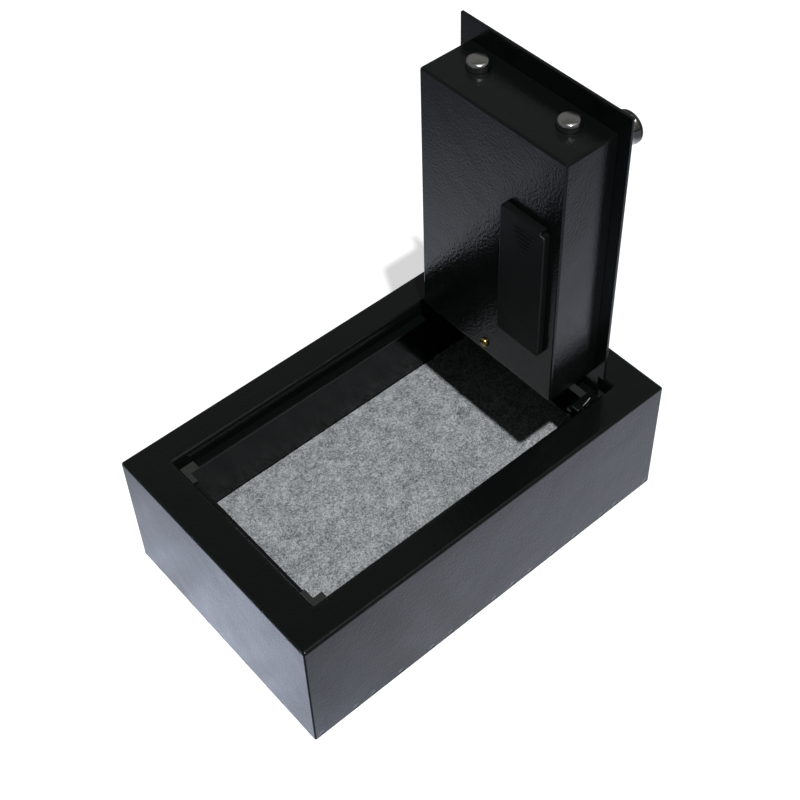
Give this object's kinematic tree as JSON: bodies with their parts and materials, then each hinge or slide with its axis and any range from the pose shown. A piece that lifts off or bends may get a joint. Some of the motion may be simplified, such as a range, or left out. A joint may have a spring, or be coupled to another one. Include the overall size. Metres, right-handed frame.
{
  "type": "under desk drawer safe",
  "caption": "Low black steel safe on its back, recessed door open at a right angle, lock housing with two round bolts, keypad and knob, felt floor.",
  "frame": {"origin": "under the middle of the body, on the plane of its back face", "axes": "+Z out of the door opening, +X along the long side towards the hinge, +Y across the short side"},
  "size_m": [0.3, 0.187, 0.324],
  "materials": {
    "black_paint": "glossy black powder coat with a fine orange peel",
    "chrome": "polished",
    "zinc_steel": "bright zinc",
    "yellow_zinc": "yellow passivated zinc",
    "brass": "satin",
    "black_plastic": "fine moulded texture",
    "grey_plastic": "satin",
    "dark_window": "glossy dark red",
    "felt": "needled heather felt",
    "grey_foam": "matt closed-cell foam",
    "board_green": "solder mask",
    "cell_sleeve": "printed film sleeve, plain"
  },
  "bodies": {
    "case": {"body_shell": "black_paint", "back_panel": "black_paint", "felt_liner": "felt", "stop_strip_left": "black_paint", "stop_strip_right": "black_paint", "stop_strip_end": "black_paint", "corner_pad_left": "grey_foam", "corner_pad_right": "grey_foam", "hinge_lug_left": "black_paint", "hinge_lug_right": "black_paint", "hinge_pin_left": "zinc_steel", "hinge_pin_right": "zinc_steel", "hinge_washer_left": "zinc_steel", "hinge_washer_right": "zinc_steel"},
    "door": {"door_plate": "black_paint", "door_ear_left": "black_paint", "door_ear_right": "black_paint", "hinge_flange": "black_paint", "lock_housing": "black_paint", "housing_screw": "yellow_zinc", "housing_post": "zinc_steel", "carriage_stud_left": "zinc_steel", "carriage_stud_right": "zinc_steel", "solenoid_coil": "grey_plastic", "battery_box": "black_plastic", "contact_plate_upper": "zinc_steel", "contact_plate_lower": "zinc_steel", "battery_cell_1": "cell_sleeve", "battery_cell_2": "cell_sleeve", "battery_cell_3": "cell_sleeve", "battery_cell_4": "cell_sleeve", "circuit_board": "board_green", "buzzer": "black_plastic", "keypad_panel": "black_plastic", "display_window": "dark_window", "key_barrel": "chrome", "key_cover_stud": "zinc_steel"},
    "bolts": {"bolt_carriage": "zinc_steel", "live_bolt_left": "chrome", "live_bolt_right": "chrome"},
    "knob_shaft": {"knob": "chrome", "knob_spindle": "zinc_steel", "crank": "zinc_steel"},
    "plunger": {"solenoid_plunger": "zinc_steel"},
    "cover": {"battery_cover": "black_plastic"},
    "plug": {"key_plug": "brass"},
    "key_flap": {"key_cover": "black_plastic"},
    "button_1": {"key_1": "grey_plastic"},
    "button_2": {"key_2": "grey_plastic"},
    "button_3": {"key_3": "grey_plastic"},
    "button_4": {"key_4": "grey_plastic"},
    "button_5": {"key_5": "grey_plastic"},
    "button_6": {"key_6": "grey_plastic"},
    "button_7": {"key_7": "grey_plastic"},
    "button_8": {"key_8": "grey_plastic"},
    "button_9": {"key_9": "grey_plastic"},
    "button_clear": {"key_clear": "grey_plastic"},
    "button_0": {"key_0": "grey_plastic"},
    "button_enter": {"key_enter": "grey_plastic"}
  },
  "joints": [
    {"name": "door_hinge", "type": "hinge", "parent": "case", "child": "door", "pos_m": [0.114, 0, 0.086], "axis": [0, 1, 0], "range_deg": [-90, 0]},
    {"name": "bolt_slide", "type": "slide", "parent": "door", "child": "bolts", "axis": [0, 0, 1], "range_m": [0, 0.015]},
    {"name": "knob_turn", "type": "hinge", "parent": "door", "child": "knob_shaft", "pos_m": [0.12, -0.047, 0.293], "axis": [1, 0, 0], "range_deg": [0, 75]},
    {"name": "plunger_pull", "type": "slide", "parent": "door", "child": "plunger", "axis": [-1, 0, 0], "range_m": [0, 0.003], "stiffness_N_per_m": 120, "springref_m": -0.003},
    {"name": "battery_cover_slide", "type": "slide", "parent": "door", "child": "cover", "axis": [0, 0, -1], "range_m": [0, 0.008]},
    {"name": "key_plug_turn", "type": "hinge", "parent": "door", "child": "plug", "pos_m": [0.12, 0, 0.142], "axis": [1, 0, 0], "range_deg": [0, 90]},
    {"name": "key_cover_swing", "type": "hinge", "parent": "door", "child": "key_flap", "pos_m": [0.123, 0, 0.156], "axis": [1, 0, 0], "range_deg": [-85, 85]},
    {"name": "key_1_press", "type": "slide", "parent": "door", "child": "button_1", "axis": [-1, 0, 0], "range_m": [0, 0.001], "stiffness_N_per_m": 200, "springref_m": -0.001},
    {"name": "key_2_press", "type": "slide", "parent": "door", "child": "button_2", "axis": [-1, 0, 0], "range_m": [0, 0.001], "stiffness_N_per_m": 200, "springref_m": -0.001},
    {"name": "key_3_press", "type": "slide", "parent": "door", "child": "button_3", "axis": [-1, 0, 0], "range_m": [0, 0.001], "stiffness_N_per_m": 200, "springref_m": -0.001},
    {"name": "key_4_press", "type": "slide", "parent": "door", "child": "button_4", "axis": [-1, 0, 0], "range_m": [0, 0.001], "stiffness_N_per_m": 200, "springref_m": -0.001},
    {"name": "key_5_press", "type": "slide", "parent": "door", "child": "button_5", "axis": [-1, 0, 0], "range_m": [0, 0.001], "stiffness_N_per_m": 200, "springref_m": -0.001},
    {"name": "key_6_press", "type": "slide", "parent": "door", "child": "button_6", "axis": [-1, 0, 0], "range_m": [0, 0.001], "stiffness_N_per_m": 200, "springref_m": -0.001},
    {"name": "key_7_press", "type": "slide", "parent": "door", "child": "button_7", "axis": [-1, 0, 0], "range_m": [0, 0.001], "stiffness_N_per_m": 200, "springref_m": -0.001},
    {"name": "key_8_press", "type": "slide", "parent": "door", "child": "button_8", "axis": [-1, 0, 0], "range_m": [0, 0.001], "stiffness_N_per_m": 200, "springref_m": -0.001},
    {"name": "key_9_press", "type": "slide", "parent": "door", "child": "button_9", "axis": [-1, 0, 0], "range_m": [0, 0.001], "stiffness_N_per_m": 200, "springref_m": -0.001},
    {"name": "key_clear_press", "type": "slide", "parent": "door", "child": "button_clear", "axis": [-1, 0, 0], "range_m": [0, 0.001], "stiffness_N_per_m": 200, "springref_m": -0.001},
    {"name": "key_0_press", "type": "slide", "parent": "door", "child": "button_0", "axis": [-1, 0, 0], "range_m": [0, 0.001], "stiffness_N_per_m": 200, "springref_m": -0.001},
    {"name": "key_enter_press", "type": "slide", "parent": "door", "child": "button_enter", "axis": [-1, 0, 0], "range_m": [0, 0.001], "stiffness_N_per_m": 200, "springref_m": -0.001}
  ],
  "couplings": [
    {"joint": "knob_turn", "follows": "bolt_slide", "rad_per_m": 87.266}
  ]
}
